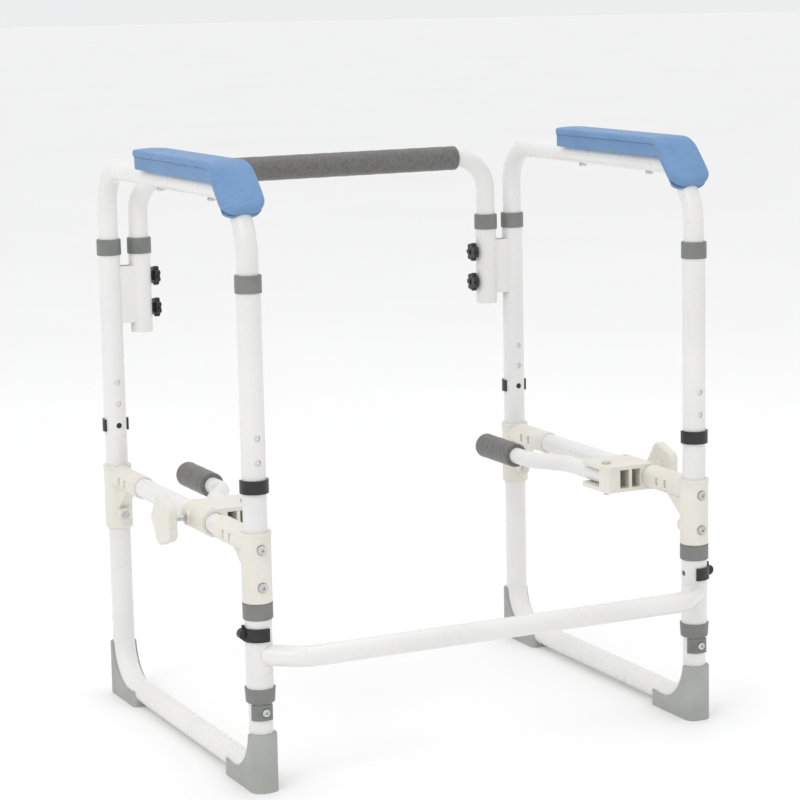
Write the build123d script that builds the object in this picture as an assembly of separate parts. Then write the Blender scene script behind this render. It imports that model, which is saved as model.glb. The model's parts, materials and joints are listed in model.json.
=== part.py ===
"""Toilet safety frame: a free-standing frame of steel tube that stands round a toilet.

Each side is one U-shaped base tube with a second, telescoping tube above it that carries the
armrest. A bowed front bar, a padded back bar and two clamps with foam rollers hold the sides
to each other and to the toilet. Units are millimetres, +Z is up, +X is the left-to-right
direction seen from the front, and -Y is the front.
"""
from build123d import *
from math import cos, sin, radians
import os

# ---------------------------------------------------------------- overall sizes
LEG_SPACING_X = 528.0        # between the left and the right leg axes
LEG_SPACING_Y = 421.0        # between the front and the rear leg axes
BASE_TOP = 538.0             # top end of the base tube
ARM_AXIS_HEIGHT = 622.0      # axis of the arm tube under the armrest
RAIL_HEIGHT = 262.5          # axis of the side rails
CROSSBAR_HEIGHT = 146.0      # axis of the front crossbar

# ---------------------------------------------------------------- tubes
BASE_OD = 25.4
WALL = 1.2                   # wall of every tube
TELESCOPE_GAP = 0.4          # radial gap between two telescoping tubes
ARM_OD = BASE_OD - 2 * (WALL + TELESCOPE_GAP)
BACK_BAR_OD = ARM_OD
SLEEVE_OD = BASE_OD + 2 * (WALL + TELESCOPE_GAP)
RAIL_OD = 22.2
CROSSBAR_OD = 22.2
ROLLER_TUBE_OD = 19.0
SEAT_GAP = 0.03              # radial gap of a piece that is pressed or moulded on
SLIP = 0.15                  # radial gap between parts that are slipped over a tube
RUNNING_GAP = 0.35           # radial gap of a part that slides along a tube

BASE_BEND = 50.0             # centreline radii of the bends
ARM_FRONT_BEND = 65.0
ARM_REAR_BEND = 45.0
BACK_BAR_BEND = 41.0
CROSSBAR_BEND = 45.0
ROLLER_BEND = 40.0

ARM_BOTTOM = 267.0           # lower ends of the arm tube, above the upper tee bolts
ARM_HOLE_HEIGHT = 323.0      # lowest height setting
HOLE_PITCH = 25.4
HOLE_COUNT = 3
PIN_RADIUS = 3.0
PIN_GAP = 0.4

# ---------------------------------------------------------------- boots
SOLE = 3.8                   # rubber under the floor rail
BOOT_HALF = BASE_OD / 2 + 2.5
BOOT_HEEL = BASE_OD / 2 + 2.3             # from the leg axis to the outer face
BOOT_HEEL_CORNER = 11.5
BOOT_TOE_CORNER = 6.0
BOOT_EDGE = 1.2
BOOT_LENGTH = 85.0
BOOT_HEIGHT = 62.5
BOOT_TOE_HEIGHT = 18.0

# ---------------------------------------------------------------- collars on tube ends
COLLAR_RADIUS = BASE_OD / 2 + 1.3
COLLAR_LENGTH = 18.2
COLLAR_LIP = 2.0

# ---------------------------------------------------------------- tees
TEE_BOTTOM = 201.0
TEE_LENGTH = 74.5
TEE_RADIUS = BASE_OD / 2 + 3.05
TEE_RIM = 0.6
BRANCH_RADIUS = RAIL_OD / 2 + 2.2
BRANCH_REACH = 89.5          # from the leg axis to the end of the branch
TEE_BOLT_HEIGHTS = (258.5, 219.0)
BOSS_RADIUS = 7.5
BOSS_REACH = BASE_OD / 2 + 11.3
BOLT_RADIUS = 3.0
BOLT_HEAD_RADIUS = 5.0
BOLT_HEAD = 2.5
NUT_FLATS = 10.0
NUT_HEIGHT = 5.0
SLOT_OFFSETS = (41.0, 59.0)  # windows in the sides of the branch, from the leg axis
SLOT_LENGTH = 5.0
SLOT_HEIGHT = 9.0
RAIL_END_GAP = 30.0          # from the leg axis to the end of the side rail

# ---------------------------------------------------------------- sleeves on the front legs
SLEEVE_BOTTOM = 99.0
SLEEVE_TOP = 196.0
SLEEVE_COLLAR_RADIUS = SLEEVE_OD / 2 + 1.6
UPPER_COLLAR_BOTTOM = 184.0
LOWER_COLLAR_BOTTOM = 95.2
LOWER_COLLAR_TOP = 111.0
LOWER_COLLAR_RADIUS = SLEEVE_OD / 2 + 1.9
LOCK_HEIGHT = 168.5
STOP_HEIGHT = 86.0
STOP_LENGTH = 16.6
STOP_THICKNESS = 2.0
STOP_HALF_ANGLE = 50.0
STOP_TURN = -14.5            # the clip sits a little to the left of its screw
RIVET_ANGLE = 31.0
RIVET_RADIUS = 1.6
SCREW_SOCKET_RADIUS = 1.7

# ---------------------------------------------------------------- front crossbar
CROSSBAR_BOW = 36.0          # how far it stands in front of the leg axes
CROSSBAR_STRAIGHT = LEG_SPACING_X - 72     # between its two bends

# ---------------------------------------------------------------- back bar and receivers
RECEIVER_INSET = BASE_OD + 11.6       # from the leg axis to the receiver axis
RECEIVER_BOTTOM = 430.0
BACK_BAR_BOTTOM = 436.0
BACK_BAR_HEIGHT = 611.0
FOAM_RADIUS = BACK_BAR_OD / 2 + 3.4
BACK_FOAM_LENGTH = 372.0
PLATE_BOTTOM = 442.0
PLATE_TOP = 508.0
PLATE_THICKNESS = 3.0
PLATE_SPACING = 14.0
STAR_HEIGHTS = {"upper": 494.0, "lower": 457.0}
STAR_RADIUS = 11.4
STAR_CORE = 8.8
STAR_LOBE = 3.2
STAR_THICKNESS = 6.5
STAR_OFFSET = BASE_OD / 2 + 5.8         # from the receiver axis to the middle of the knob
STAR_LOBES = 7

# ---------------------------------------------------------------- armrests
PAD_TOP = 653.0
PAD_BOTTOM = 631.0
PAD_REAR = 63.0
PAD_KNEE = -175.0            # where the flat top turns down
PAD_TIP = (-217.0, 607.0)
PAD_SLAB = 14.0              # thickness of the nose
PAD_SKIRT_HALF = 18.5
PAD_LIP_HALF = 21.5
PAD_LIP_HEIGHT = 8.0
PAD_NOSE_HALF = 25.0
PAD_SCREWS = (32.0, -118.0)
PAD_SCREW_RADIUS = 2.5

# ---------------------------------------------------------------- clips
CLIP_HEIGHT = 14.0
CLIP_THICKNESS = 2.4
CLIP_HALF_ANGLE = 108.0
LOCK_TAB_RADIUS = 5.6
LOCK_NUB_HEIGHT = 3.2

# ---------------------------------------------------------------- toilet clamps
CLAMP_FRONT = {"left": -97.0, "right": -120.0}   # front faces, which slide on the rails
CLAMP_LENGTH = 62.0
CLAMP_HALF_HEIGHT = 14.75
CLAMP_REACH = 59.0           # from the rail axis to the inner side
CLAMP_PLATE = 4.2
CLAMP_WALL = 3.0
RING_RADIUS = RAIL_OD / 2 + 4.1
PIVOT_OUT = 45.0             # pivot bolt, from the rail axis
PIVOT_BACK = 25.0            # pivot bolt, from the front face
PIVOT_DROP = 6.5             # how far its end stands out below
ROLLER_OUT = 73.0            # roller axis, from the rail axis
ROLLER_START = 190.0         # foam, from the clamp's front face
ROLLER_FOAM_LENGTH = 80.0
ROLLER_TUBE_END = 275.0
KNOB_BACK = 42.0
KNOB_OUT = 41.0              # middle of the hand knob, from the rail axis
KNOB_RADIUS = 28.5
KNOB_CORE = 24.8
KNOB_LOBE = 11.0
KNOB_THICKNESS = 11.0
KNOB_LOBES = 5

LEG_X = LEG_SPACING_X / 2
LEG_Y = LEG_SPACING_Y / 2
FLOOR_AXIS = SOLE + BASE_OD / 2
SIDES = {"left": -1, "right": 1}
ENDS = {"front": -1, "rear": 1}

# The origin is on the floor in the middle of the outline. The outline reaches further in
# front of the legs, to the crossbar, than behind them, to the heads of the rear tee bolts.
FRONT_REACH = LEG_Y + CROSSBAR_BOW + CROSSBAR_OD / 2
REAR_REACH = LEG_Y + TEE_RADIUS + BOLT_HEAD
CENTRE_SHIFT = (FRONT_REACH - REAR_REACH) / 2


# ---------------------------------------------------------------- shared shapes
def fillet(edges, radius):
    """Round edges of the solid that they belong to."""
    edges = list(edges)
    return edges[0].topo_parent.fillet(radius, edges)


def chamfer(edges, length):
    """Bevel edges of the solid that they belong to."""
    edges = list(edges)
    return edges[0].topo_parent.chamfer(length, None, edges)


def write(shape, node):
    """Move a finished piece into the part's frame and write it."""
    os.makedirs("parts", exist_ok=True)
    export_step(Pos(0, CENTRE_SHIFT, 0) * shape, f"parts/{node}.step")


def tube(points, outside, bends):
    """A bent round tube through corner points."""
    path = FilletPolyline(*points, radius=bends) if len(points) > 2 else Line(*points)
    start = Plane(origin=path @ 0, z_dir=path % 0)
    section = start * (Circle(outside / 2) - Circle(outside / 2 - WALL))
    return sweep(section, path=path)


def rod(centre, axis, radius, low, high):
    """A round bar along X, Y or Z, from low to high along that axis."""
    turn = {"X": Rot(0, 90, 0), "Y": Rot(-90, 0, 0), "Z": Rot(0, 0, 0)}[axis]
    shape = Cylinder(radius, high - low, align=(Align.CENTER, Align.CENTER, Align.MIN))
    step = {"X": Pos(low, 0, 0), "Y": Pos(0, low, 0), "Z": Pos(0, 0, low)}[axis]
    return Pos(*centre) * step * turn * shape


def ring(outer, inner, low, high):
    """A round sleeve about the Z axis."""
    return rod((0, 0, 0), "Z", outer, low, high) - rod((0, 0, 0), "Z", inner, low - 1, high + 1)


def block(x, y, z):
    """A box between two values on each axis."""
    size = [high - low for low, high in (x, y, z)]
    middle = [(low + high) / 2 for low, high in (x, y, z)]
    return Pos(*middle) * Box(*size)


def bend_cutters(radius, bend, reach):
    """Cutters for a bent bar that comes down the Z axis and leaves along -Y at the origin."""
    upright = rod((0, 0, 0), "Z", radius, bend, bend + reach)
    run = rod((0, 0, 0), "Y", radius, -bend - reach, -bend)
    axis = Axis((0, -bend, bend), (1, 0, 0))
    elbow = revolve(Pos(0, 0, bend) * Circle(radius), axis=axis, revolution_arc=-90)
    return [upright, run, elbow]


def hexagon(centre, flats, low, high):
    """A hexagonal bar along Z."""
    shape = extrude(RegularPolygon(flats / 2, 6, major_radius=False), high - low)
    return Pos(centre[0], centre[1], low) * shape


def bevelled(radius, thickness, bevel):
    """A disc about Z with its middle at the origin and both rims bevelled."""
    disc = Cylinder(radius, thickness)
    return chamfer(disc.edges().filter_by(GeomType.CIRCLE), bevel)


def lobed(radius, core, lobe, lobes, thickness, bevel):
    """A knob body: a core disc with round lobes, its axis along Z."""
    body = bevelled(core, thickness, bevel)
    for index in range(lobes):
        angle = radians(90 + 360 * index / lobes)
        reach = radius - lobe
        body += Pos(reach * cos(angle), reach * sin(angle)) * bevelled(lobe, thickness, bevel)
    return body


def band(inner, thickness, height, half_angle):
    """A C-shaped clip about Z with its middle towards -Y."""
    outer = inner + thickness
    hoop = ring(outer, inner, -height / 2, height / 2)
    kept = half_angle < 90
    angle = radians(half_angle if kept else 180 - half_angle)
    facing = -1 if kept else 1
    reach = 2 * outer
    wide = reach * sin(angle)
    wedge = Polygon((0, 0), (wide, facing * reach * cos(angle)), (wide, facing * reach),
                    (-wide, facing * reach), (-wide, facing * reach * cos(angle)), align=None)
    wedge = extrude(wedge, height, both=True)
    return hoop & wedge if kept else hoop - wedge


def y_holes(x, y, heights, radius):
    """Cutters for holes that run right through an upright from front to back."""
    return [rod((x, y, height), "Y", radius, -BASE_OD, BASE_OD) for height in heights]


# ---------------------------------------------------------------- base
def base_tube(side):
    """One side's lower frame: front upright, floor rail and rear upright in one tube."""
    x = side * LEG_X
    corners = [(x, -LEG_Y, BASE_TOP), (x, -LEG_Y, FLOOR_AXIS)]
    corners += [(x, LEG_Y, FLOOR_AXIS), (x, LEG_Y, BASE_TOP)]
    body = tube(corners, BASE_OD, BASE_BEND)
    settings = [ARM_HOLE_HEIGHT + HOLE_PITCH * index for index in range(HOLE_COUNT)]
    for y in (-LEG_Y, LEG_Y):
        for cutter in y_holes(x, y, settings, PIN_RADIUS + PIN_GAP):
            body -= cutter
        for cutter in y_holes(x, y, TEE_BOLT_HEIGHTS, BOLT_RADIUS + PIN_GAP):
            body -= cutter
    body -= rod((x, -LEG_Y, LOCK_HEIGHT), "X", PIN_RADIUS + PIN_GAP, -BASE_OD, BASE_OD)
    body -= rod((x, -LEG_Y, STOP_HEIGHT), "Y", BOLT_RADIUS - 1 + PIN_GAP, -BASE_OD, 0)
    return body


def boot(side, end):
    """A rubber shoe that wraps the outside of the bend."""
    toe = BOOT_HEEL - BOOT_LENGTH
    step = 12 - BASE_BEND
    profile = Polygon((BOOT_HEEL, 0), (BOOT_HEEL, BOOT_HEIGHT), (toe, BOOT_HEIGHT), (toe, 0), align=None)
    profile -= Pos(-BASE_BEND, FLOOR_AXIS + BASE_BEND) * Circle(BASE_BEND)
    profile -= Polygon((step, BOOT_TOE_HEIGHT), (step, BOOT_HEIGHT + 1), (toe - 1, BOOT_HEIGHT + 1),
                       (toe - 1, BOOT_TOE_HEIGHT), align=None)
    body = extrude(Plane.YZ * profile, BOOT_HALF, both=True)
    uprights = body.edges().filter_by(Axis.Z).group_by(Axis.Y)
    body = fillet(uprights[-1], BOOT_HEEL_CORNER)
    body = fillet(body.edges().filter_by(Axis.Z).group_by(Axis.Y)[0], BOOT_TOE_CORNER)
    rim = body.faces().filter_by(Axis.Z).sort_by(Axis.Z)[-1]
    body = fillet([edge for edge in body.edges() if edge in rim.edges()], BOOT_EDGE)
    for cutter in bend_cutters(BASE_OD / 2 + SEAT_GAP, BASE_BEND, BOOT_LENGTH):
        body -= Pos(0, 0, FLOOR_AXIS) * cutter
    turn = Rot(0, 0, 0) if end > 0 else Rot(0, 0, 180)
    return Pos(side * LEG_X, end * LEG_Y, 0) * turn * body


def end_collar(x, y):
    """The plastic cap on a tube's top end that guides the tube inside it."""
    top = BASE_TOP + COLLAR_LIP
    body = rod((0, 0, 0), "Z", COLLAR_RADIUS, top - COLLAR_LENGTH, top)
    body = chamfer(body.edges().group_by(Axis.Z)[-1], 0.8)
    body -= rod((0, 0, 0), "Z", BASE_OD / 2 + SEAT_GAP, 0, BASE_TOP)
    body -= rod((0, 0, 0), "Z", BASE_OD / 2 - WALL, 0, top + 1)
    return Pos(x, y, 0) * body


# ---------------------------------------------------------------- tees and rails
def tee():
    """A moulded tee about a leg axis at the origin, with its branch towards +Y."""
    top = TEE_BOTTOM + TEE_LENGTH
    body = rod((0, 0, 0), "Z", TEE_RADIUS, TEE_BOTTOM, top)
    body = chamfer(body.edges().group_by(Axis.Z)[0], 1.2)
    body += rod((0, 0, 0), "Z", TEE_RADIUS + TEE_RIM, top - 4, top)
    branch = rod((0, 0, RAIL_HEIGHT), "Y", BRANCH_RADIUS, 0, BRANCH_REACH)
    branch = chamfer(branch.edges().group_by(Axis.Y)[-1], 1.2)
    web = Polygon((8, RAIL_HEIGHT - 36), (15, RAIL_HEIGHT - 36), (48, RAIL_HEIGHT - 11),
                  (8, RAIL_HEIGHT - 11), align=None)
    body += branch
    body += extrude(Plane.YZ * web, 6, both=True)
    body += rod((0, 0, TEE_BOLT_HEIGHTS[1]), "Y", BOSS_RADIUS, 0, BOSS_REACH)
    body -= rod((0, 0, 0), "Z", BASE_OD / 2 + SLIP, TEE_BOTTOM - 1, top + BRANCH_RADIUS)
    body -= rod((0, 0, RAIL_HEIGHT), "Y", RAIL_OD / 2 + SLIP, BASE_OD / 2, BRANCH_REACH + 1)
    for height in TEE_BOLT_HEIGHTS:
        body -= rod((0, 0, height), "Y", BOLT_RADIUS + SLIP, -TEE_RADIUS - 1, BOSS_REACH + 1)
        body -= rod((0, 0, height), "Y", BOLT_HEAD_RADIUS + 0.5, -TEE_RADIUS - 2, 1.2 - TEE_RADIUS)
    pocket = hexagon((0, 0), NUT_FLATS + 2 * SLIP, 0, NUT_HEIGHT + 1)
    body -= Pos(0, BOSS_REACH - NUT_HEIGHT, TEE_BOLT_HEIGHTS[1]) * Rot(-90, 0, 0) * pocket
    for offset in SLOT_OFFSETS:
        window = [(offset - SLOT_LENGTH / 2, offset + SLOT_LENGTH / 2)]
        window += [(RAIL_HEIGHT - SLOT_HEIGHT / 2, RAIL_HEIGHT + SLOT_HEIGHT / 2)]
        for face in ((-BRANCH_RADIUS - 1, 0), (0, BRANCH_RADIUS + 1)):
            body -= block(face, *window)
    return body


def tee_bolts():
    """The two bolts and nuts of one tee, in the tee's own place."""
    pieces = []
    for height, nut_low in zip(TEE_BOLT_HEIGHTS, (BASE_OD / 2 + 0.5, BOSS_REACH - NUT_HEIGHT)):
        head = 1.2 - TEE_RADIUS
        bolt = rod((0, 0, height), "Y", BOLT_RADIUS, head, nut_low + NUT_HEIGHT + 1)
        cap = rod((0, 0, height), "Y", BOLT_HEAD_RADIUS, head - BOLT_HEAD - 1.2, head)
        cap = fillet(cap.edges().group_by(Axis.Y)[0], 0.9)
        socket = hexagon((0, 0), 3.4, 0, 1.8)
        cap -= Pos(0, head - BOLT_HEAD - 1.3, height) * Rot(-90, 0, 0) * socket
        nut = hexagon((0, 0), NUT_FLATS, 0, NUT_HEIGHT) - Cylinder(BOLT_RADIUS + SEAT_GAP, 40)
        pieces += [bolt + cap, Pos(0, nut_low, height) * Rot(-90, 0, 0) * nut]
    return pieces


def place_tee(shape, side, end):
    """Stand a tee, or its bolts, on a leg with the branch towards the other leg."""
    turn = Rot(0, 0, 0) if end < 0 else Rot(0, 0, 180)
    return Pos(side * LEG_X, end * LEG_Y, 0) * turn * shape


def side_rail(side):
    """The straight tube between the two tees of a side."""
    reach = LEG_Y - RAIL_END_GAP
    return tube([(side * LEG_X, -reach, RAIL_HEIGHT), (side * LEG_X, reach, RAIL_HEIGHT)], RAIL_OD, 0)


# ---------------------------------------------------------------- front crossbar and sleeves
def sleeve(side):
    """The tube that carries the crossbar on a front leg."""
    body = ring(SLEEVE_OD / 2, BASE_OD / 2 + SLIP, SLEEVE_BOTTOM, SLEEVE_TOP)
    body -= rod((0, 0, LOCK_HEIGHT), "X", PIN_RADIUS + PIN_GAP, -SLEEVE_OD, SLEEVE_OD)
    return Pos(side * LEG_X, -LEG_Y, 0) * body


def crossbar():
    """The bowed bar, coped to the two sleeves at its ends."""
    half = CROSSBAR_STRAIGHT / 2
    inner = LEG_X - 4
    front = -LEG_Y - CROSSBAR_BOW
    corners = [(-inner, -LEG_Y - 7, CROSSBAR_HEIGHT), (-half, front, CROSSBAR_HEIGHT)]
    corners += [(half, front, CROSSBAR_HEIGHT), (inner, -LEG_Y - 7, CROSSBAR_HEIGHT)]
    body = tube(corners, CROSSBAR_OD, CROSSBAR_BEND)
    for x in (-LEG_X, LEG_X):
        body -= rod((x, -LEG_Y, 0), "Z", SLEEVE_OD / 2, SLEEVE_BOTTOM, SLEEVE_TOP)
    return body.solids().sort_by(SortBy.VOLUME)[-1]


def sleeve_collar(side, upper):
    """The plastic bush at an end of a sleeve."""
    slip_bore = BASE_OD / 2 + SLIP
    seat_bore = SLEEVE_OD / 2 + SEAT_GAP
    if upper:
        body = rod((0, 0, 0), "Z", SLEEVE_COLLAR_RADIUS, UPPER_COLLAR_BOTTOM, TEE_BOTTOM)
        body = chamfer(body.edges().group_by(Axis.Z)[0], 0.8)
        body -= rod((0, 0, 0), "Z", seat_bore, UPPER_COLLAR_BOTTOM - 1, SLEEVE_TOP)
        body -= rod((0, 0, 0), "Z", slip_bore, SLEEVE_TOP - 1, TEE_BOTTOM + 1)
    else:
        shift = (LOWER_COLLAR_BOTTOM + LOWER_COLLAR_TOP) / 2
        length = LOWER_COLLAR_TOP - LOWER_COLLAR_BOTTOM
        body = Pos(0, 0, shift) * Cone(LOWER_COLLAR_RADIUS - 1, LOWER_COLLAR_RADIUS, length)
        body = fillet(body.edges().filter_by(GeomType.CIRCLE).group_by(Axis.Z)[0], 1.9)
        body -= rod((0, 0, 0), "Z", seat_bore, SLEEVE_BOTTOM, LOWER_COLLAR_TOP + 1)
        body -= rod((0, 0, 0), "Z", slip_bore, LOWER_COLLAR_BOTTOM - 1, SLEEVE_BOTTOM + 1)
    return Pos(side * LEG_X, -LEG_Y, 0) * body


def stop_clip(side):
    """The grey half-clip that carries the sleeve, with a rivet beside its screw."""
    inner = BASE_OD / 2 + SEAT_GAP
    outer = inner + STOP_THICKNESS
    body = Rot(0, 0, STOP_TURN) * band(inner, STOP_THICKNESS, STOP_LENGTH, STOP_HALF_ANGLE)
    rivet = rod((0, 0, -1.2), "Y", RIVET_RADIUS, -outer - 0.7, -inner - 0.2)
    body += Rot(0, 0, -RIVET_ANGLE) * rivet
    body -= rod((0, 0, 0), "Y", BOLT_RADIUS - 1 + SLIP, -outer - 1, 0)
    body -= rod((0, 0, 0), "Y", BOLT_HEAD_RADIUS, -outer - 1, 0.8 - outer)
    return Pos(side * LEG_X, -LEG_Y, STOP_HEIGHT) * body


def stop_screw(side):
    """The screw that holds a stop clip on its leg."""
    outer = BASE_OD / 2 + SEAT_GAP + STOP_THICKNESS
    body = rod((0, 0, 0), "Y", BOLT_RADIUS - 1, 0.8 - outer, -8)
    cap = rod((0, 0, 0), "Y", BOLT_HEAD_RADIUS - 0.8, -outer - 1.2, 0.8 - outer)
    body += fillet(cap.edges().group_by(Axis.Y)[0], 0.7)
    body -= rod((0, 0, 0), "Y", SCREW_SOCKET_RADIUS, -outer - 2, 0.4 - outer)
    return Pos(side * LEG_X, -LEG_Y, STOP_HEIGHT) * body


# ---------------------------------------------------------------- back bar
def receiver(side):
    """The short upright tube that takes one end of the back bar."""
    x = side * (LEG_X - RECEIVER_INSET)
    body = Pos(x, LEG_Y, 0) * ring(BASE_OD / 2, BASE_OD / 2 - WALL, RECEIVER_BOTTOM, BASE_TOP)
    for height in STAR_HEIGHTS.values():
        reach = sorted((0, -side * BASE_OD))
        body -= rod((x, LEG_Y, height), "X", PIN_RADIUS + PIN_GAP, *reach)
    return body


def receiver_plates():
    """The flat plates that weld each receiver to its rear upright."""
    pieces = []
    for side in SIDES.values():
        near = LEG_X - RECEIVER_INSET
        x_span = sorted((side * near, side * LEG_X))
        for face in (-1, 1):
            middle = LEG_Y + face * PLATE_SPACING / 2
            y_span = (middle - PLATE_THICKNESS / 2, middle + PLATE_THICKNESS / 2)
            plate = block(x_span, y_span, (PLATE_BOTTOM, PLATE_TOP))
            for x in (side * near, side * LEG_X):
                plate -= rod((x, LEG_Y, 0), "Z", BASE_OD / 2, 0, BASE_TOP)
            pieces.append(plate)
    return pieces


def back_bar_tube():
    """The inverted U behind the user's back, whose ends slide in the receivers."""
    x = LEG_X - RECEIVER_INSET
    corners = [(-x, LEG_Y, BACK_BAR_BOTTOM), (-x, LEG_Y, BACK_BAR_HEIGHT)]
    corners += [(x, LEG_Y, BACK_BAR_HEIGHT), (x, LEG_Y, BACK_BAR_BOTTOM)]
    return tube(corners, BACK_BAR_OD, BACK_BAR_BEND)


def back_bar_foam():
    """The foam sleeve on the back bar."""
    half = BACK_FOAM_LENGTH / 2
    centre = (0, LEG_Y, BACK_BAR_HEIGHT)
    body = rod(centre, "X", FOAM_RADIUS, -half, half)
    body = fillet(body.edges(), 2)
    return body - rod(centre, "X", BACK_BAR_OD / 2 + SEAT_GAP, -half - 1, half + 1)


def star_knob(side, height):
    """A star knob with its moulded-in stud, pointing at the back bar's upright."""
    body = lobed(STAR_RADIUS, STAR_CORE, STAR_LOBE, STAR_LOBES, STAR_THICKNESS, 0.8)
    hub_end = STAR_OFFSET - BASE_OD / 2 - 0.5
    body += rod((0, 0, 0), "Z", STAR_RADIUS * 0.5, 0, hub_end)
    tip = STAR_OFFSET - BACK_BAR_OD / 2 - 0.4
    body += rod((0, 0, 0), "Z", PIN_RADIUS, 0, tip)
    body -= rod((0, 0, 0), "Z", STAR_RADIUS * 0.3, -STAR_THICKNESS, 1.2 - STAR_THICKNESS / 2)
    x = side * (LEG_X - RECEIVER_INSET - STAR_OFFSET)
    return Pos(x, LEG_Y, height) * Rot(0, 90 * side, 0) * body


# ---------------------------------------------------------------- arms
def arm_tube(side):
    """The inverted U that telescopes in the base tube and carries the armrest."""
    x = side * LEG_X
    corners = [(x, -LEG_Y, ARM_BOTTOM), (x, -LEG_Y, ARM_AXIS_HEIGHT)]
    corners += [(x, LEG_Y, ARM_AXIS_HEIGHT), (x, LEG_Y, ARM_BOTTOM)]
    body = tube(corners, ARM_OD, [ARM_FRONT_BEND, ARM_REAR_BEND])
    for y in (-LEG_Y, LEG_Y):
        for cutter in y_holes(x, y, [ARM_HOLE_HEIGHT], PIN_RADIUS + PIN_GAP):
            body -= cutter
    for y in PAD_SCREWS:
        body -= rod((x, y, 0), "Z", PAD_SCREW_RADIUS + SLIP, ARM_AXIS_HEIGHT - ARM_OD, PAD_TOP)
    return body


def armrest(side):
    """The moulded pad: a lipped bar over the arm and a wide nose over the front bend."""
    slope = (PAD_TOP - PAD_TIP[1]) / (PAD_TIP[0] - PAD_KNEE)
    length = (1 + slope ** 2) ** 0.5
    inset = (PAD_SLAB * slope / length, -PAD_SLAB / length)
    inner_tip = (PAD_TIP[0] - inset[0], PAD_TIP[1] + inset[1])
    inner_knee = (PAD_KNEE - inset[0] + 12, PAD_TOP - PAD_SLAB)
    nose = Polygon((PAD_KNEE + 30, PAD_TOP), (PAD_KNEE, PAD_TOP), PAD_TIP, inner_tip, inner_knee,
                   (PAD_KNEE + 30, PAD_TOP - PAD_SLAB), align=None)
    body = extrude(Plane.YZ * nose, PAD_NOSE_HALF, both=True)
    tips = body.edges().filter_by(Axis.X).sort_by(Axis.Z)[0:2]
    body = fillet(tips, PAD_SLAB * 0.4)
    front = PAD_KNEE + 28
    skirt = block((-PAD_SKIRT_HALF, PAD_SKIRT_HALF), (front, PAD_REAR - 3), (PAD_BOTTOM, PAD_TOP))
    lip_span = (PAD_TOP - PAD_LIP_HEIGHT, PAD_TOP)
    lip = block((-PAD_LIP_HALF, PAD_LIP_HALF), (front, PAD_REAR), lip_span)
    knee = Polygon((front + 1, PAD_BOTTOM), (front + 1, PAD_TOP - 1), (PAD_KNEE, PAD_TOP - 2),
                   (PAD_KNEE - 9, PAD_BOTTOM), align=None)
    body += skirt + lip + extrude(Plane.YZ * knee, PAD_SKIRT_HALF, both=True)
    for cutter in bend_cutters(ARM_OD / 2 + SEAT_GAP, ARM_FRONT_BEND, LEG_SPACING_Y):
        body -= Pos(0, -LEG_Y, ARM_AXIS_HEIGHT) * Rot(180, 0, 0) * cutter
    for y in PAD_SCREWS:
        body -= rod((0, y, 0), "Z", PAD_SCREW_RADIUS + SEAT_GAP, ARM_AXIS_HEIGHT, PAD_TOP - 7)
    return Pos(side * LEG_X, 0, 0) * body.solids().sort_by(SortBy.VOLUME)[-1]


def armrest_screws(side):
    """The two screws that hold an armrest from under the arm tube."""
    under = ARM_AXIS_HEIGHT - ARM_OD / 2
    pieces = []
    for y in PAD_SCREWS:
        centre = (side * LEG_X, y, 0)
        head = rod(centre, "Z", 4.6, under - 3, under - 0.05)
        head = fillet(head.edges().group_by(Axis.Z)[0], 1.6)
        pieces.append(head + rod(centre, "Z", PAD_SCREW_RADIUS, under - 1, PAD_TOP - 8))
    return pieces


# ---------------------------------------------------------------- spring clips
def height_clip(side, end):
    """A spring clip whose pin sets the arm height. It pulls off away from the frame."""
    inner = BASE_OD / 2 + SLIP
    body = band(inner, CLIP_THICKNESS, CLIP_HEIGHT, CLIP_HALF_ANGLE)
    outer = inner + CLIP_THICKNESS
    body += rod((0, 0, 0), "Y", PIN_RADIUS, -outer + CLIP_THICKNESS / 2, BASE_OD / 2 - 0.5)
    turn = Rot(0, 0, 0) if end < 0 else Rot(0, 0, 180)
    return Pos(side * LEG_X, end * LEG_Y, ARM_HOLE_HEIGHT) * turn * body


def lock_clip(side):
    """The spring clip, with a round pull tab, that pins a sleeve to its leg."""
    inner = SLEEVE_OD / 2 + SLIP
    body = band(inner, CLIP_THICKNESS, CLIP_HEIGHT, CLIP_HALF_ANGLE + 5)
    outer = inner + CLIP_THICKNESS
    body += rod((0, -outer - 0.5, 0.8), "X", LOCK_TAB_RADIUS, -4, 4)
    body += block((-1.5, 1.5), (-outer - 1.6, -outer + 1), (0, CLIP_HEIGHT / 2 + LOCK_NUB_HEIGHT))
    body -= rod((0, 0, 0), "Z", inner, -CLIP_HEIGHT, CLIP_HEIGHT)
    body += rod((0, 0, 0), "Y", PIN_RADIUS, -outer, BASE_OD / 2 - 0.5)
    return Pos(side * LEG_X, -LEG_Y, LOCK_HEIGHT) * Rot(0, 0, 90 * side) * body


# ---------------------------------------------------------------- toilet clamps
# Each clamp is drawn with x as the distance inwards from the rail axis, y as the distance
# back from its front face and z from the rail axis. place_clamp() mirrors it to its side.
def place_clamp(shape, name):
    """Put a clamp piece on its rail."""
    if SIDES[name] > 0:
        shape = mirror(shape, Plane.YZ)
    return Pos(SIDES[name] * LEG_X, CLAMP_FRONT[name], RAIL_HEIGHT) * shape


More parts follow.
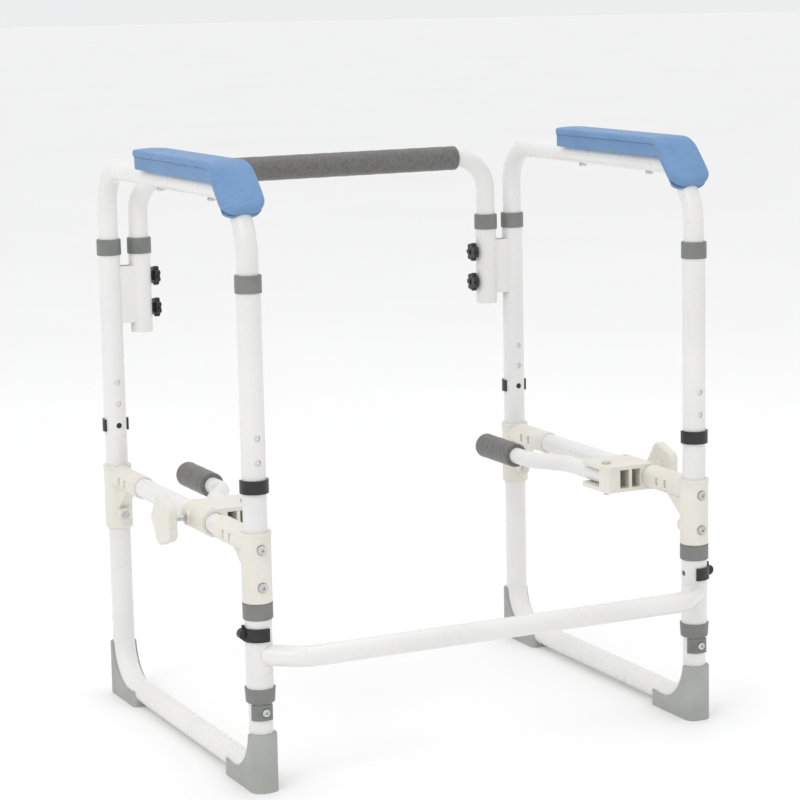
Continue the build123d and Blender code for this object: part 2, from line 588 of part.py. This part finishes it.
def clamp_bracket():
    """The moulded bracket: a ring on the rail and a clevis for the roller arm."""
    half = CLAMP_HALF_HEIGHT
    body = rod((0, 0, 0), "Y", RING_RADIUS, 0, CLAMP_LENGTH)
    box = block((0, CLAMP_REACH), (0, CLAMP_LENGTH), (-half, half))
    upright = box.edges().filter_by(Axis.Z)
    outer_front = upright.group_by(Axis.X)[-1].sort_by(Axis.Y)[0]
    outer_rear = upright.group_by(Axis.X)[-1].sort_by(Axis.Y)[-1]
    box = fillet([outer_front], 5)
    box = fillet(box.edges().filter_by(Axis.Z).group_by(Axis.X)[-1].sort_by(Axis.Y)[-1:], 9)
    hollow = half - CLAMP_PLATE
    box -= block((29, CLAMP_REACH - CLAMP_WALL), (CLAMP_WALL, CLAMP_LENGTH + 1), (-hollow, hollow))
    box -= block((29, CLAMP_REACH + 1), (18, CLAMP_LENGTH + 1), (-hollow, hollow))
    box -= block((15, 26), (-1, CLAMP_LENGTH - CLAMP_WALL), (-hollow, hollow))
    box -= block((29.5, 41.5), (-1, CLAMP_WALL + 1), (-hollow, hollow))
    body += box
    body += rod((0, KNOB_BACK, 0), "X", 8, -RING_RADIUS - 2, 0)
    body -= rod((0, 0, 0), "Y", RAIL_OD / 2 + RUNNING_GAP, -1, CLAMP_LENGTH + 1)
    body -= rod((0, KNOB_BACK, 0), "X", PIN_RADIUS + PIN_GAP, -RING_RADIUS - 3, 0)
    body -= rod((PIVOT_OUT, PIVOT_BACK, 0), "Z", BOLT_RADIUS + SEAT_GAP, -half - 1, half + 1)
    pocket = hexagon((PIVOT_OUT, PIVOT_BACK), NUT_FLATS + 2 * SLIP, -half - 1, 3.4 - half)
    body -= pocket
    for back in (4, CLAMP_LENGTH - 8):
        body -= block((-3, 4), (back, back + 2), (RING_RADIUS - 1.2, RING_RADIUS + 2))
    return body


def roller_arm():
    """The bent tube that carries the foam roller, with a closed outer end."""
    nose = ROLLER_TUBE_OD / 2
    corners = [(PIVOT_OUT, PIVOT_BACK - nose, 0), (PIVOT_OUT, 115, 0)]
    corners += [(ROLLER_OUT, 160, 0), (ROLLER_OUT, ROLLER_TUBE_END, 0)]
    body = tube(corners, ROLLER_TUBE_OD, ROLLER_BEND)
    body += rod((ROLLER_OUT, 0, 0), "Y", nose, ROLLER_TUBE_END - 1, ROLLER_TUBE_END + 2)
    tip = block((PIVOT_OUT - 12, PIVOT_OUT + 12), (0, PIVOT_BACK), (-12, 12))
    tip -= rod((PIVOT_OUT, PIVOT_BACK, 0), "Z", nose, -12, 12)
    body -= tip
    eye = rod((PIVOT_OUT, PIVOT_BACK, 0), "Z", BOLT_RADIUS + 2, -nose + 0.6, nose - 0.6)
    body += eye
    body -= rod((PIVOT_OUT, PIVOT_BACK, 0), "Z", BOLT_RADIUS + 0.1, -nose - 1, nose + 1)
    return body


def roller_foam():
    """The foam roller that rests against the toilet."""
    end = ROLLER_START + ROLLER_FOAM_LENGTH
    body = fillet(rod((ROLLER_OUT, 0, 0), "Y", FOAM_RADIUS, ROLLER_START, end).edges(), 1.5)
    return body - rod((ROLLER_OUT, 0, 0), "Y", ROLLER_TUBE_OD / 2 + SEAT_GAP, ROLLER_START - 1, end + 1)


def pivot_bolt():
    """The upright bolt that the roller arm turns on, and its nut."""
    half = CLAMP_HALF_HEIGHT
    centre = (PIVOT_OUT, PIVOT_BACK, 0)
    head = rod(centre, "Z", BOLT_HEAD_RADIUS, half, half + BOLT_HEAD)
    head = fillet(head.edges().group_by(Axis.Z)[-1], 0.9)
    bolt = head + rod(centre, "Z", BOLT_RADIUS, -half - PIVOT_DROP, half + 1)
    nut = hexagon((PIVOT_OUT, PIVOT_BACK), NUT_FLATS, 0.2 - half, 3.2 - half)
    nut -= rod(centre, "Z", BOLT_RADIUS + SEAT_GAP, -half - 1, half)
    return [bolt, nut]


def hand_knob():
    """The lobed clamping knob, its axis across the rail."""
    body = lobed(KNOB_RADIUS, KNOB_CORE, KNOB_LOBE, KNOB_LOBES, KNOB_THICKNESS, 1.6)
    body += rod((0, 0, 0), "Z", 9, 0, 11)
    body -= rod((0, 0, 0), "Z", PIN_RADIUS + SEAT_GAP, -2, 15)
    return Pos(-KNOB_OUT, KNOB_BACK, 0) * Rot(0, 90, 0) * body


def clamp_stud():
    """The steel stud of the hand knob, which presses on the rail."""
    return rod((0, KNOB_BACK, 0), "X", PIN_RADIUS, -KNOB_OUT - 2, -RAIL_OD / 2 - 0.8)


# ---------------------------------------------------------------- build
def build_frame():
    """Everything that stays put."""
    bolts = []
    for side_name, side in SIDES.items():
        write(base_tube(side), f"base_tube_{side_name}")
        write(side_rail(side), f"side_rail_{side_name}")
        write(sleeve(side), f"sleeve_{side_name}")
        write(sleeve_collar(side, True), f"sleeve_collar_upper_{side_name}")
        write(sleeve_collar(side, False), f"sleeve_collar_lower_{side_name}")
        write(stop_clip(side), f"stop_clip_{side_name}")
        write(receiver(side), f"receiver_{side_name}")
        write(end_collar(side * (LEG_X - RECEIVER_INSET), LEG_Y), f"receiver_collar_{side_name}")
        collars = [end_collar(side * LEG_X, y) for y in (-LEG_Y, LEG_Y)]
        write(Compound(children=collars), f"leg_collars_{side_name}")
        for end_name, end in ENDS.items():
            write(boot(side, end), f"boot_{end_name}_{side_name}")
            write(place_tee(tee(), side, end), f"tee_{end_name}_{side_name}")
            bolts += [place_tee(piece, side, end) for piece in tee_bolts()]
    write(Compound(children=bolts), "tee_bolts")
    write(Compound(children=[stop_screw(side) for side in SIDES.values()]), "stop_screws")
    write(Compound(children=receiver_plates()), "receiver_plates")
    write(crossbar(), "front_crossbar")


def build_arms():
    """The telescoping arms, their armrests and clips."""
    for side_name, side in SIDES.items():
        write(arm_tube(side), f"arm_tube_{side_name}")
        write(armrest(side), f"armrest_{side_name}")
        write(Compound(children=armrest_screws(side)), f"armrest_screws_{side_name}")
        write(lock_clip(side), f"lock_clip_{side_name}")
        for end_name, end in ENDS.items():
            write(height_clip(side, end), f"height_clip_{end_name}_{side_name}")


def build_back_bar():
    """The back bar and the knobs that clamp it."""
    write(back_bar_tube(), "back_bar_tube")
    write(back_bar_foam(), "back_bar_foam")
    for side_name, side in SIDES.items():
        for place, height in STAR_HEIGHTS.items():
            write(star_knob(side, height), f"star_knob_{place}_{side_name}")


def build_clamps():
    """The two toilet clamps."""
    for name in SIDES:
        write(place_clamp(clamp_bracket(), name), f"clamp_bracket_{name}")
        write(place_clamp(roller_arm(), name), f"roller_arm_{name}")
        write(place_clamp(roller_foam(), name), f"roller_foam_{name}")
        write(place_clamp(hand_knob(), name), f"hand_knob_{name}")
        write(place_clamp(clamp_stud(), name), f"clamp_stud_{name}")
        pieces = [place_clamp(piece, name) for piece in pivot_bolt()]
        write(Compound(children=pieces), f"pivot_bolt_{name}")


build_frame()
build_arms()
build_back_bar()
build_clamps()
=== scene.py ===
"""The looks of the toilet safety frame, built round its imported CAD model. Units are metres."""
import json
from math import cos, pi, radians, sin, sqrt

import bmesh
import bpy
from mathutils import Matrix, Vector


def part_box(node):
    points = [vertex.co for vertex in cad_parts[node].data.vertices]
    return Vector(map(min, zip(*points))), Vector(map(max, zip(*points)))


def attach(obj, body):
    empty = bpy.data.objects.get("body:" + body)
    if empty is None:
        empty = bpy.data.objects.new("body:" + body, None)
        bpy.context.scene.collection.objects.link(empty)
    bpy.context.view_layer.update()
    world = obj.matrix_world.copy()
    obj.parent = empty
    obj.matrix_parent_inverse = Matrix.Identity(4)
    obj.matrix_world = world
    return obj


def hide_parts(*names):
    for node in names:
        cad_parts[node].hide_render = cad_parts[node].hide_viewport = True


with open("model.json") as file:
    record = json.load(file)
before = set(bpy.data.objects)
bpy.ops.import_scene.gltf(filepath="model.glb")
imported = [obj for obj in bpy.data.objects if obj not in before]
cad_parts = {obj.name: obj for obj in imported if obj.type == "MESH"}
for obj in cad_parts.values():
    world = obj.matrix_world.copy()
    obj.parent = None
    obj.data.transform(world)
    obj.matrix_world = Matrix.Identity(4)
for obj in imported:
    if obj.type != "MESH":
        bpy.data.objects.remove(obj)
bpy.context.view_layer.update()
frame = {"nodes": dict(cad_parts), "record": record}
NODES = frame["nodes"]
SIDES = ("left", "right")
X, Y = 0, 1


# ---------------------------------------------------------------- materials
COAT_ROUGHNESS = 0.12
DRIFT_FROM, DRIFT_TO = 0.3, 0.7     # the layer values between which a colour or gloss drifts


class Shader:
    """A Principled material whose colour and bump are built up from procedural layers."""

    def __init__(self, name, roughness, metallic=0.0, specular=0.5, coat=0.0, sheen=0.0):
        self.material = bpy.data.materials.new(name)
        self.material.use_nodes = True
        self.nodes = self.material.node_tree.nodes
        self.links = self.material.node_tree.links
        self.shader = self.nodes["Principled BSDF"]
        self.shader.inputs["Roughness"].default_value = roughness
        self.shader.inputs["Metallic"].default_value = metallic
        self.shader.inputs["Specular IOR Level"].default_value = specular
        self.shader.inputs["Coat Weight"].default_value = coat
        self.shader.inputs["Coat Roughness"].default_value = COAT_ROUGHNESS
        self.shader.inputs["Sheen Weight"].default_value = sheen
        self.place = self.nodes.new("ShaderNodeTexCoord").outputs["Object"]
        self.normal = None

    def noise(self, size, detail=2.0, rough=0.5):
        """A noise layer whose blobs are about size metres across."""
        noise = self.nodes.new("ShaderNodeTexNoise")
        noise.inputs["Scale"].default_value = 1 / size
        noise.inputs["Detail"].default_value = detail
        noise.inputs["Roughness"].default_value = rough
        self.links.new(self.place, noise.inputs["Vector"])
        return noise.outputs["Fac"]

    def cells(self, size, smooth=None):
        """A layer of cells about size metres across, with soft borders where smooth is given."""
        cells = self.nodes.new("ShaderNodeTexVoronoi")
        cells.inputs["Scale"].default_value = 1 / size
        if smooth is not None:
            cells.feature = "SMOOTH_F1"
            cells.inputs["Smoothness"].default_value = smooth
        self.links.new(self.place, cells.inputs["Vector"])
        return cells.outputs["Distance"]

    def drift(self, value, low, high, socket):
        """Feed a socket a shade that drifts between two with a layer."""
        ramp = self.nodes.new("ShaderNodeValToRGB")
        stops = ((DRIFT_FROM, low), (DRIFT_TO, high))
        for element, (position, shade) in zip(ramp.color_ramp.elements, stops):
            element.position = position
            element.color = (*shade, 1)
        self.links.new(value, ramp.inputs["Fac"])
        self.links.new(ramp.outputs["Color"], self.shader.inputs[socket])

    def colour(self, value, low, high):
        """Colour that drifts between two shades with a layer."""
        self.drift(value, low, high, "Base Color")

    def gloss(self, value, low, high):
        """Roughness that drifts between two values with a layer."""
        self.drift(value, (low,) * 3, (high,) * 3, "Roughness")

    def bump(self, value, height, invert=False):
        """A bump layer, height metres deep, on top of the layers before it."""
        bump = self.nodes.new("ShaderNodeBump")
        bump.inputs["Distance"].default_value = height
        bump.invert = invert
        self.links.new(value, bump.inputs["Height"])
        if self.normal is not None:
            self.links.new(self.normal, bump.inputs["Normal"])
        self.normal = bump.outputs["Normal"]
        self.links.new(self.normal, self.shader.inputs["Normal"])


def powder_coat():
    """White powder coat: a hard gloss with a light orange peel."""
    paint = Shader("white_powder_coat", 0.3, specular=0.5, coat=0.25)
    paint.colour(paint.noise(0.12, 3), (0.72, 0.715, 0.70), (0.79, 0.785, 0.77))
    paint.gloss(paint.noise(0.02, 4), 0.25, 0.38)
    paint.bump(paint.noise(0.003, 1), 0.00006)
    paint.bump(paint.noise(0.0007, 2), 0.00001)
    return paint.material


def white_plastic():
    """Moulded off-white plastic."""
    plastic = Shader("white_plastic", 0.42, specular=0.45)
    plastic.colour(plastic.noise(0.06, 4), (0.70, 0.68, 0.61), (0.77, 0.75, 0.68))
    plastic.gloss(plastic.noise(0.008, 4), 0.36, 0.5)
    plastic.bump(plastic.noise(0.006, 2), 0.00008)
    plastic.bump(plastic.noise(0.0005, 2), 0.000015)
    return plastic.material


def grey_plastic():
    """Moulded grey plastic of the collars and clips."""
    plastic = Shader("grey_plastic", 0.45, specular=0.45)
    plastic.colour(plastic.noise(0.03, 4), (0.165, 0.17, 0.16), (0.21, 0.215, 0.205))
    plastic.gloss(plastic.noise(0.005, 4), 0.38, 0.55)
    plastic.bump(plastic.noise(0.0006, 2), 0.00002)
    return plastic.material


def boot_rubber():
    """Matt light grey rubber."""
    rubber = Shader("boot_rubber", 0.6, specular=0.35)
    rubber.colour(rubber.noise(0.04, 4), (0.34, 0.35, 0.33), (0.41, 0.42, 0.40))
    rubber.gloss(rubber.noise(0.01, 4), 0.5, 0.7)
    rubber.bump(rubber.noise(0.0006, 3), 0.00003)
    return rubber.material


def black_plastic():
    """Black nylon of the clips and star knobs."""
    plastic = Shader("black_plastic", 0.35, specular=0.5)
    plastic.colour(plastic.noise(0.015, 3), (0.008, 0.008, 0.009), (0.02, 0.02, 0.022))
    plastic.gloss(plastic.noise(0.004, 4), 0.28, 0.48)
    plastic.bump(plastic.noise(0.0008, 2), 0.00002)
    return plastic.material


def foam():
    """Dark grey closed-cell foam with an open, pitted skin."""
    skin = Shader("dark_foam", 0.5, specular=0.45, sheen=0.1)
    skin.colour(skin.noise(0.004, 5, 0.65), (0.10, 0.099, 0.095), (0.17, 0.168, 0.162))
    skin.bump(skin.noise(0.006, 3), 0.0002)
    skin.bump(skin.cells(0.0009), 0.00012)
    skin.bump(skin.noise(0.0004, 2), 0.00005)
    return skin.material


def pad_blue():
    """Blue moulded skin with a pebble grain."""
    skin = Shader("blue_pad", 0.5, specular=0.4, coat=0.05)
    skin.colour(skin.noise(0.05, 4), (0.13, 0.26, 0.48), (0.16, 0.30, 0.53))
    skin.gloss(skin.noise(0.003, 3), 0.42, 0.6)
    skin.bump(skin.cells(0.002, smooth=0.3), 0.0009, invert=True)
    skin.bump(skin.noise(0.0005, 2), 0.00004)
    return skin.material


def zinc():
    """Zinc-plated steel of the fasteners."""
    metal = Shader("zinc_steel", 0.32, metallic=1.0)
    metal.colour(metal.noise(0.004, 4), (0.50, 0.50, 0.50), (0.66, 0.66, 0.65))
    metal.gloss(metal.noise(0.002, 4), 0.22, 0.45)
    metal.bump(metal.noise(0.0008, 3), 0.00002)
    return metal.material


MATERIALS = {
    "white_tube": powder_coat(),
    "white_plastic": white_plastic(),
    "grey_plastic": grey_plastic(),
    "boot_rubber": boot_rubber(),
    "black_plastic": black_plastic(),
    "dark_foam": foam(),
    "blue_pad": pad_blue(),
    "steel": zinc(),
}


def dress_cad():
    """Give every CAD node the finish of its slot."""
    for subpart in frame["record"]["subparts"]:
        node = NODES[subpart["node"]]
        node.data.materials.clear()
        node.data.materials.append(MATERIALS[subpart["material_slot"]])


# ---------------------------------------------------------------- skinned shapes
def mesh_object(name, rings, closed=False):
    """A smooth object skinned over rings of points, capped at both ends unless it is closed."""
    edit = bmesh.new()
    loops = [[edit.verts.new(point) for point in ring] for ring in rings]
    pairs = list(zip(loops, loops[1:])) + ([(loops[-1], loops[0])] if closed else [])
    for low, high in pairs:
        for index in range(len(low)):
            edit.faces.new((low[index - 1], low[index], high[index], high[index - 1]))
    if not closed:
        edit.faces.new(loops[0])
        edit.faces.new(loops[-1])
    bmesh.ops.recalc_face_normals(edit, faces=edit.faces)
    for face in edit.faces:
        face.smooth = True
    mesh = bpy.data.meshes.new(name)
    edit.to_mesh(mesh)
    edit.free()
    piece = bpy.data.objects.new(name, mesh)
    bpy.context.scene.collection.objects.link(piece)
    return piece


def ease(value):
    """A smooth step from 0 to 1."""
    value = min(1, max(0, value))
    return value * value * (3 - 2 * value)


def pull_in(distance, radius):
    """How far a rounded corner pulls in from a straight edge at a distance from its end."""
    left = max(0, radius - distance)
    return radius - sqrt(max(0, radius * radius - left * left))


def arc_points(centre, radius, start, end, count):
    """Points of an arc in a section, from one angle to another in degrees."""
    angles = [radians(start + (end - start) * step / count) for step in range(count + 1)]
    return [(centre[0] + radius * cos(angle), centre[1] + radius * sin(angle)) for angle in angles]


# ---------------------------------------------------------------- armrest pads
# Along the pad: a level bar, then a bend and a sloping nose.
NOSE_REACH = 0.042          # from the pad's tip back to the corner that the bend rounds
NOSE_DROP = 0.046           # how far the tip lies below the bar's top
NOSE_BEND = 0.034           # radius of the bend
BAR_STEPS, BEND_STEPS, NOSE_STEPS = 90, 24, 40
REAR_CROWDING, TIP_CROWDING = 1.6, 1.7      # how much the stations crowd towards each end

# Across the pad: a lip, and a narrower skirt under it. The nose is broader than the bar.
HALF_WIDTH, NOSE_HALF_GAIN = 0.0215, 0.0032     # half the lip's width
LIP, NOSE_LIP_GAIN = 0.008, 0.0045              # height of the lip
DEPTH, NOSE_DEPTH_LOSS = 0.022, 0.005           # from the top down to the skirt's bottom
SKIRT, NOSE_SKIRT_GAIN = 0.0185, 0.0022         # half the skirt's width
EDGE, NOSE_EDGE_GAIN = 0.003, 0.0022            # radius of the top's edges
NOSE_START, NOSE_EASE = 0.085, 0.05         # how far from the tip it starts to broaden, and over what length
CROWN = 0.0009                              # rise of the top's middle over its sides
SKIRT_NOTCH, SKIRT_FOOT = 0.0009, 0.0018    # the skirt's bevel under the lip, and its bottom rounding
SKIRT_INSET, SKIRT_DROP = 0.0008, 0.003     # the least the skirt stays in from and below the lip
LEAST_LIP, LEAST_UNDER = 0.0022, 0.0004     # least height of the lip and radius of its lower edge
EDGE_OF_LIP, EDGE_OF_HALF = 0.6, 0.8        # the edge's largest share of the lip and of the half width

# Both ends round off, in plan and in height.
TIP_CORNER, REAR_CORNER = 0.017, 0.006
TIP_ROUNDING, REAR_ROUNDING = 0.006, 0.003
SINK_SHARE, DEPTH_SHARE = 0.55, 1.2         # of the rounding, what the top sinks and the depth loses


def pad_section(half, lip, edge, skirt, depth):
    """One side of a pad's section, from the middle of its top to the middle of its bottom."""
    top_steps, under_steps, foot_steps, bottom_steps = 10, 8, 5, 6
    span = half - edge
    steps = range(top_steps)
    line = [(span * step / top_steps, CROWN * (1 - (step / top_steps) ** 2)) for step in steps]
    line += arc_points((span, -edge), edge, 90, 0, top_steps)
    under = min(edge, max(LEAST_UNDER, lip - edge))
    line += arc_points((half - under, -lip + under), under, 0, -90, under_steps)[1:]
    line += [(skirt + SKIRT_NOTCH, -lip), (skirt, -lip - SKIRT_NOTCH)]
    inner = skirt - SKIRT_FOOT
    hub = (inner, -max(depth, lip + 2 * SKIRT_NOTCH + SKIRT_FOOT) + SKIRT_FOOT)
    line += arc_points(hub, SKIRT_FOOT, 0, -90, foot_steps)
    bottom = line[-1][1]
    line += [(inner * step / bottom_steps, bottom) for step in reversed(range(bottom_steps))]
    return line


def pad_path(low, high):
    """Stations along the top of a pad: place, direction along it and distance from each end."""
    tip = Vector((low[1], high[2] - NOSE_DROP))
    knee = low[1] + NOSE_REACH
    slope = (tip - Vector((knee, high[2]))).normalized()
    turn = slope.angle(Vector((-1, 0)))
    bend_end = knee + NOSE_BEND * sin(turn / 2) / cos(turn / 2)
    stations = []
    for step in range(BAR_STEPS + 1):
        share = (step / BAR_STEPS) ** REAR_CROWDING
        stations.append((Vector((high[1] - (high[1] - bend_end) * share, high[2])), Vector((-1, 0))))
    hub = Vector((bend_end, high[2] - NOSE_BEND))
    for step in range(1, BEND_STEPS + 1):
        angle = turn * step / BEND_STEPS
        place = hub + NOSE_BEND * Vector((-sin(angle), cos(angle)))
        stations.append((place, Vector((-cos(angle), -sin(angle)))))
    last = stations[-1][0]
    reach = (tip - last).length
    for step in range(1, NOSE_STEPS + 1):
        share = 1 - (1 - step / NOSE_STEPS) ** TIP_CROWDING
        stations.append((last + slope * reach * share, slope))
    travelled = [0.0]
    for before, after in zip(stations, stations[1:]):
        travelled.append(travelled[-1] + (after[0] - before[0]).length)
    total = travelled[-1]
    return [(place, ahead, done, total - done) for (place, ahead), done in zip(stations, travelled)]


def pad_ring(middle, place, ahead, behind, left):
    """The points round a pad at one station, from its distances to the rear end and the tip."""
    nose = ease((NOSE_START - left) / NOSE_EASE)
    half = HALF_WIDTH + NOSE_HALF_GAIN * nose
    half -= pull_in(left, TIP_CORNER) + pull_in(behind, REAR_CORNER)
    squeeze = pull_in(left, TIP_ROUNDING) + pull_in(behind, REAR_ROUNDING)
    lip = max(LIP + NOSE_LIP_GAIN * nose - squeeze, LEAST_LIP)
    edge = min(EDGE + NOSE_EDGE_GAIN * nose, lip * EDGE_OF_LIP, half * EDGE_OF_HALF)
    skirt = min(SKIRT + NOSE_SKIRT_GAIN * nose, half - SKIRT_INSET)
    depth = max(DEPTH - NOSE_DEPTH_LOSS * nose - squeeze * DEPTH_SHARE, lip + SKIRT_DROP)
    side = pad_section(half, lip, edge, skirt, depth)
    other_side = [(-across, up) for across, up in side[-2:0:-1]]
    upward = Vector((ahead[1], -ahead[0]))
    sink = squeeze * SINK_SHARE + CROWN
    ring = []
    for across, up in side + other_side:
        spot = place + upward * (up - sink)
        ring.append((middle + across, spot[0], spot[1]))
    return ring


def armrest_pad(side):
    """The moulded pad: a lipped bar with a skirt under it, and a broad rounded nose."""
    low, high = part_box(f"armrest_{side}")
    middle = (low[0] + high[0]) / 2
    rings = [pad_ring(middle, *station) for station in pad_path(low, high)]
    piece = mesh_object(f"pad_{side}", rings)
    piece.data.materials.append(MATERIALS["blue_pad"])
    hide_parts(f"armrest_{side}")
    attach(piece, f"arm_{side}")


# ---------------------------------------------------------------- foam sleeves
ROLLER_BORE, BACK_BAR_BORE = 0.0095, 0.0111     # radii
FOAM_ROUNDING = 0.0022      # of the ends' outer edges
FOAM_CUFF = 0.0002          # a first narrow ring on each flat end, next to the bore
FOAM_END_STEPS, FOAM_RUN_STEPS, FOAM_ROUND_STEPS = 8, 60, 96
FOAM_WAVES = ((0.00012, 210, 0), (0.00008, 530, 1))     # height, radians per metre, start


def foam_profile(half, radius, bore):
    """The outline that a sleeve's section makes along its axis, as (along, out) points."""
    hub = (-half + FOAM_ROUNDING, radius - FOAM_ROUNDING)
    cap = [(-half, bore), (-half, bore + FOAM_CUFF)]
    cap += arc_points(hub, FOAM_ROUNDING, 180, 90, FOAM_END_STEPS)
    run = half - FOAM_ROUNDING
    top = [(-run + 2 * run * step / FOAM_RUN_STEPS, radius) for step in range(1, FOAM_RUN_STEPS)]
    return cap + top + [(-along, out) for along, out in reversed(cap)]


def foam_sleeve(node, body, axis, bore):
    """A foam sleeve with rounded ends round a tube that runs along one axis."""
    low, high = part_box(node)
    middle = [(a + b) / 2 for a, b in zip(low, high)]
    radius = (high[2] - low[2]) / 2
    rings = []
    for along, out in foam_profile((high[axis] - low[axis]) / 2, radius, bore):
        if out > radius - FOAM_ROUNDING:
            out += sum(height * sin(along * rate + start) for height, rate, start in FOAM_WAVES)
        ring = []
        for step in range(FOAM_ROUND_STEPS):
            angle = 2 * pi * step / FOAM_ROUND_STEPS
            point = [0.0, 0.0, 0.0]
            point[axis] = middle[axis] + along
            point[1 - axis] = middle[1 - axis] + out * cos(angle)
            point[2] = middle[2] + out * sin(angle)
            ring.append(point)
        rings.append(ring)
    piece = mesh_object(node.replace("foam", "sleeve"), rings, closed=True)
    piece.data.materials.append(MATERIALS["dark_foam"])
    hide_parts(node)
    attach(piece, body)


# ---------------------------------------------------------------- studio
FLOOR_RADIUS, FLOOR_SIDES = 40, 96
SKY_LOW, SKY_HIGH = (0.86, 0.865, 0.87), (1.0, 1.0, 1.0)
SKY_TOP = 0.8               # the height, as a share of straight up, where the sky is at its palest
SKY_STRENGTH = 0.98
LIGHT_AIM = Vector((0, 0, 0.35))


def floor():
    """A wide pale floor under the frame."""
    mesh = bpy.data.meshes.new("floor")
    edit = bmesh.new()
    bmesh.ops.create_circle(edit, cap_ends=True, segments=FLOOR_SIDES, radius=FLOOR_RADIUS)
    edit.to_mesh(mesh)
    edit.free()
    ground = bpy.data.objects.new("floor", mesh)
    bpy.context.scene.collection.objects.link(ground)
    shader = Shader("floor_paint", 0.6, specular=0.3)
    shader.colour(shader.noise(0.8, 3), (0.92, 0.92, 0.92), (0.94, 0.94, 0.94))
    mesh.materials.append(shader.material)


def surround():
    """A pale sky that is a little darker towards the floor."""
    world = bpy.data.worlds.new("surround")
    world.use_nodes = True
    nodes, links = world.node_tree.nodes, world.node_tree.links
    direction = nodes.new("ShaderNodeTexCoord")
    split = nodes.new("ShaderNodeSeparateXYZ")
    sky = nodes.new("ShaderNodeValToRGB")
    links.new(direction.outputs["Generated"], split.inputs["Vector"])
    links.new(split.outputs["Z"], sky.inputs["Fac"])
    sky.color_ramp.elements[0].color = (*SKY_LOW, 1)
    sky.color_ramp.elements[1].color = (*SKY_HIGH, 1)
    sky.color_ramp.elements[1].position = SKY_TOP
    links.new(sky.outputs["Color"], nodes["Background"].inputs["Color"])
    nodes["Background"].inputs["Strength"].default_value = SKY_STRENGTH
    bpy.context.scene.world = world


def area_light(name, place, size, power):
    """A square softbox of so many metres and watts, aimed at the middle of the frame."""
    data = bpy.data.lights.new(name, "AREA")
    data.size = size
    data.energy = power
    lamp = bpy.data.objects.new(name, data)
    aim = LIGHT_AIM - Vector(place)
    lamp.location = place
    lamp.rotation_euler = aim.to_track_quat("-Z", "Y").to_euler()
    bpy.context.scene.collection.objects.link(lamp)


def studio():
    """The floor, the surround and three large soft lights."""
    floor()
    surround()
    bpy.context.scene.view_settings.view_transform = "Standard"
    area_light("key", place=(-2.6, -1.6, 2.8), size=1.8, power=26)
    area_light("fill", place=(2.6, -1.6, 1.6), size=2.2, power=3)
    area_light("top", place=(0.2, 0.6, 3.2), size=2.5, power=14)


# ---------------------------------------------------------------- camera
CAMERA_PLACE = (-1.2362, -2.5767, 0.8425)
CAMERA_YAW, CAMERA_PITCH, CAMERA_ROLL = radians(25.578), radians(9.589), radians(-1.164)
CAMERA_LENS, CAMERA_SENSOR = 115.27, 36     # both in millimetres
CAMERA_CLIP_END = 200


def camera():
    """The camera at the photograph's viewing angle."""
    ahead = Vector((
        sin(CAMERA_YAW) * cos(CAMERA_PITCH),
        cos(CAMERA_YAW) * cos(CAMERA_PITCH),
        -sin(CAMERA_PITCH),
    ))
    level = Vector((cos(CAMERA_YAW), -sin(CAMERA_YAW), 0))
    upright = level.cross(ahead)
    right = level * cos(CAMERA_ROLL) + upright * sin(CAMERA_ROLL)
    up = upright * cos(CAMERA_ROLL) - level * sin(CAMERA_ROLL)
    data = bpy.data.cameras.new("camera")
    data.sensor_width = CAMERA_SENSOR
    data.lens = CAMERA_LENS
    data.clip_end = CAMERA_CLIP_END
    view = bpy.data.objects.new("camera", data)
    turn = Matrix((right, up, -ahead)).transposed()
    view.matrix_world = Matrix.Translation(CAMERA_PLACE) @ turn.to_4x4()
    bpy.context.scene.collection.objects.link(view)
    bpy.context.scene.camera = view


# ---------------------------------------------------------------- the scene
dress_cad()
for side_name in SIDES:
    armrest_pad(side_name)
    foam_sleeve(f"roller_foam_{side_name}", f"roller_{side_name}", Y, ROLLER_BORE)
foam_sleeve("back_bar_foam", "back_bar", X, BACK_BAR_BORE)
studio()
camera()
